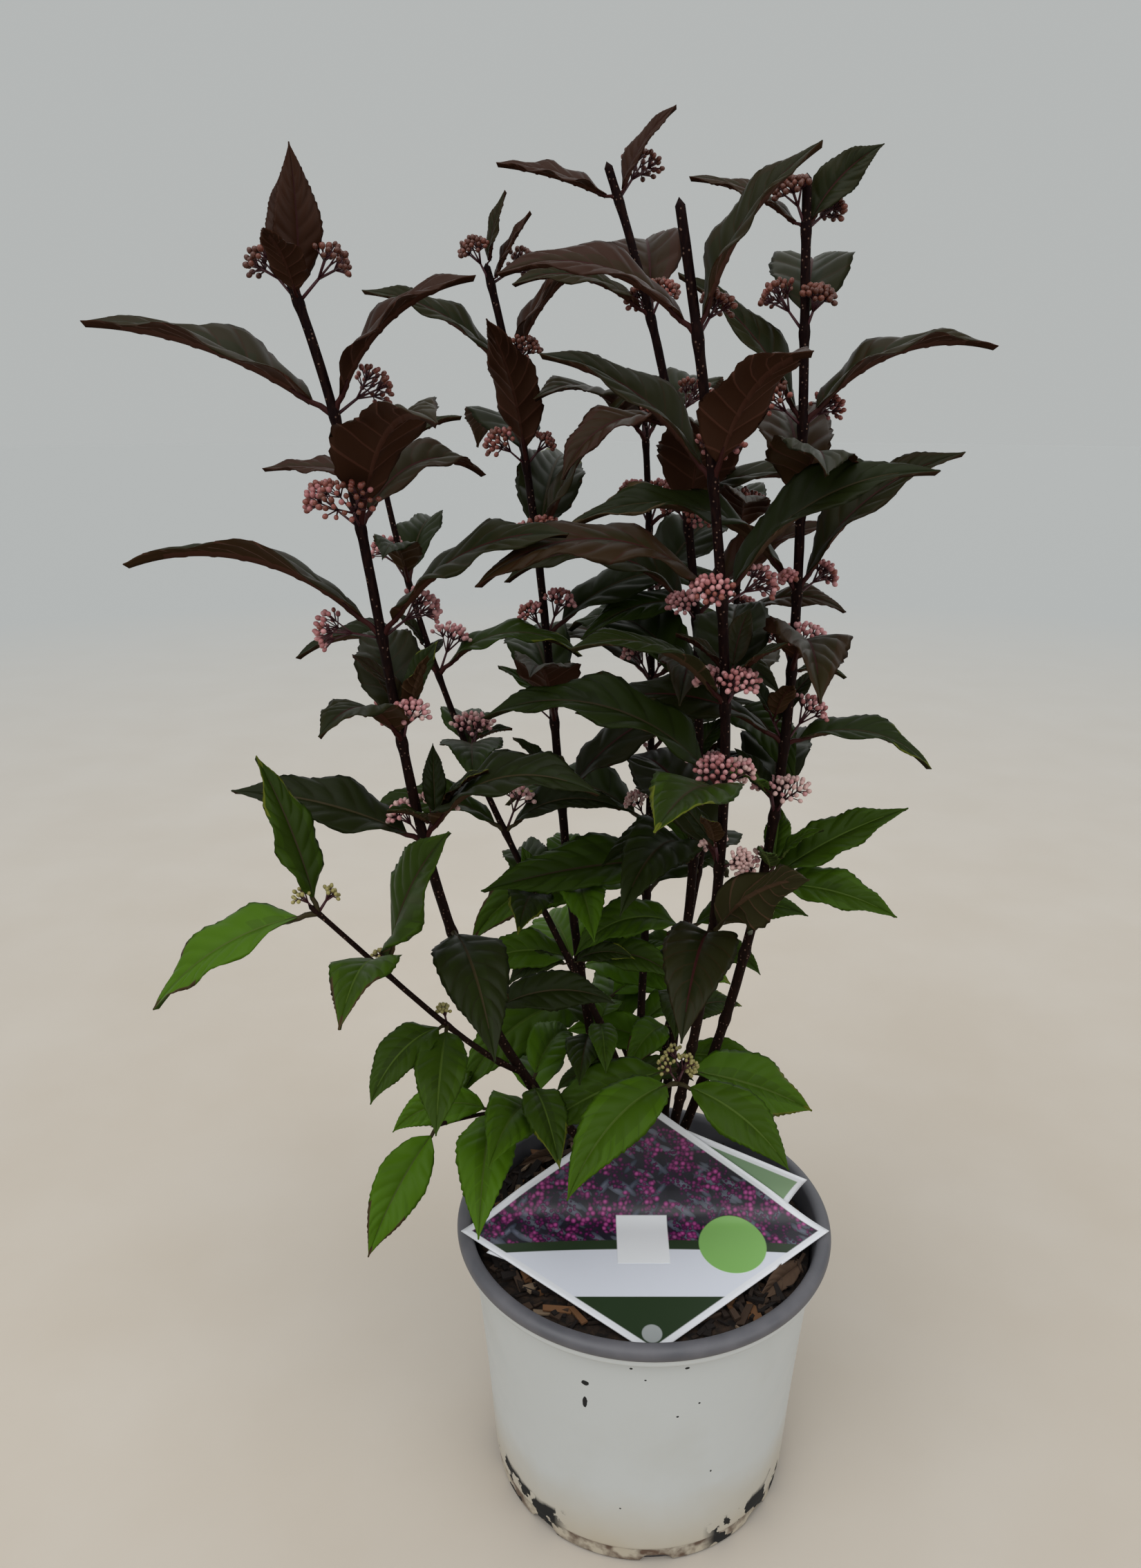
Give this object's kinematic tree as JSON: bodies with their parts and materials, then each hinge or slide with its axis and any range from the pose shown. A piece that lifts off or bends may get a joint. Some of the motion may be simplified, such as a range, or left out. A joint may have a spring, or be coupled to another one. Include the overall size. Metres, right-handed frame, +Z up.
{
  "type": "potted beautyberry",
  "caption": "Young beautyberry shrub in a white nursery pot: upright dark stems with paired purple-green leaves, pink berry clusters in the axils, and diamond picture cards on the rim.",
  "frame": {"origin": "centre of the pot's underside", "axes": "+Z up, -Y to the front where the label card leans out, +X to the right seen from the front"},
  "size_m": [0.321, 0.2854, 0.596],
  "materials": {
    "pot": "satin",
    "soil": "rough",
    "bark": "rough",
    "card": "glossy",
    "card_back": "glossy",
    "leaves": "satin",
    "young_leaves": "satin"
  },
  "bodies": {
    "root": {"pot": "pot", "soil": "soil", "root_collar": "bark", "plant_card": "card", "plant_card_back": "card_back", "stem_left": "bark", "stem_right": "bark", "stem_front": "bark", "stem_middle": "bark", "stem_back_left": "bark", "stem_far_left": "bark", "stem_back": "bark", "stem_back_right": "bark", "foliage_left_lower": "leaves", "foliage_left_upper": "young_leaves", "foliage_right_lower": "leaves", "foliage_right_upper": "young_leaves", "foliage_front_lower": "leaves", "foliage_front_upper": "young_leaves", "foliage_middle_lower": "leaves", "foliage_middle_upper": "young_leaves", "foliage_back_left_lower": "leaves", "foliage_back_left_upper": "young_leaves", "foliage_far_left_lower": "leaves", "foliage_far_left_upper": "young_leaves", "foliage_back_lower": "leaves", "foliage_back_upper": "young_leaves", "foliage_back_right_lower": "leaves", "foliage_back_right_upper": "young_leaves", "foliage_low_left": "leaves", "foliage_rim_left": "leaves", "foliage_rim_front": "leaves", "foliage_rim_back": "leaves"}
  },
  "joints": []
}
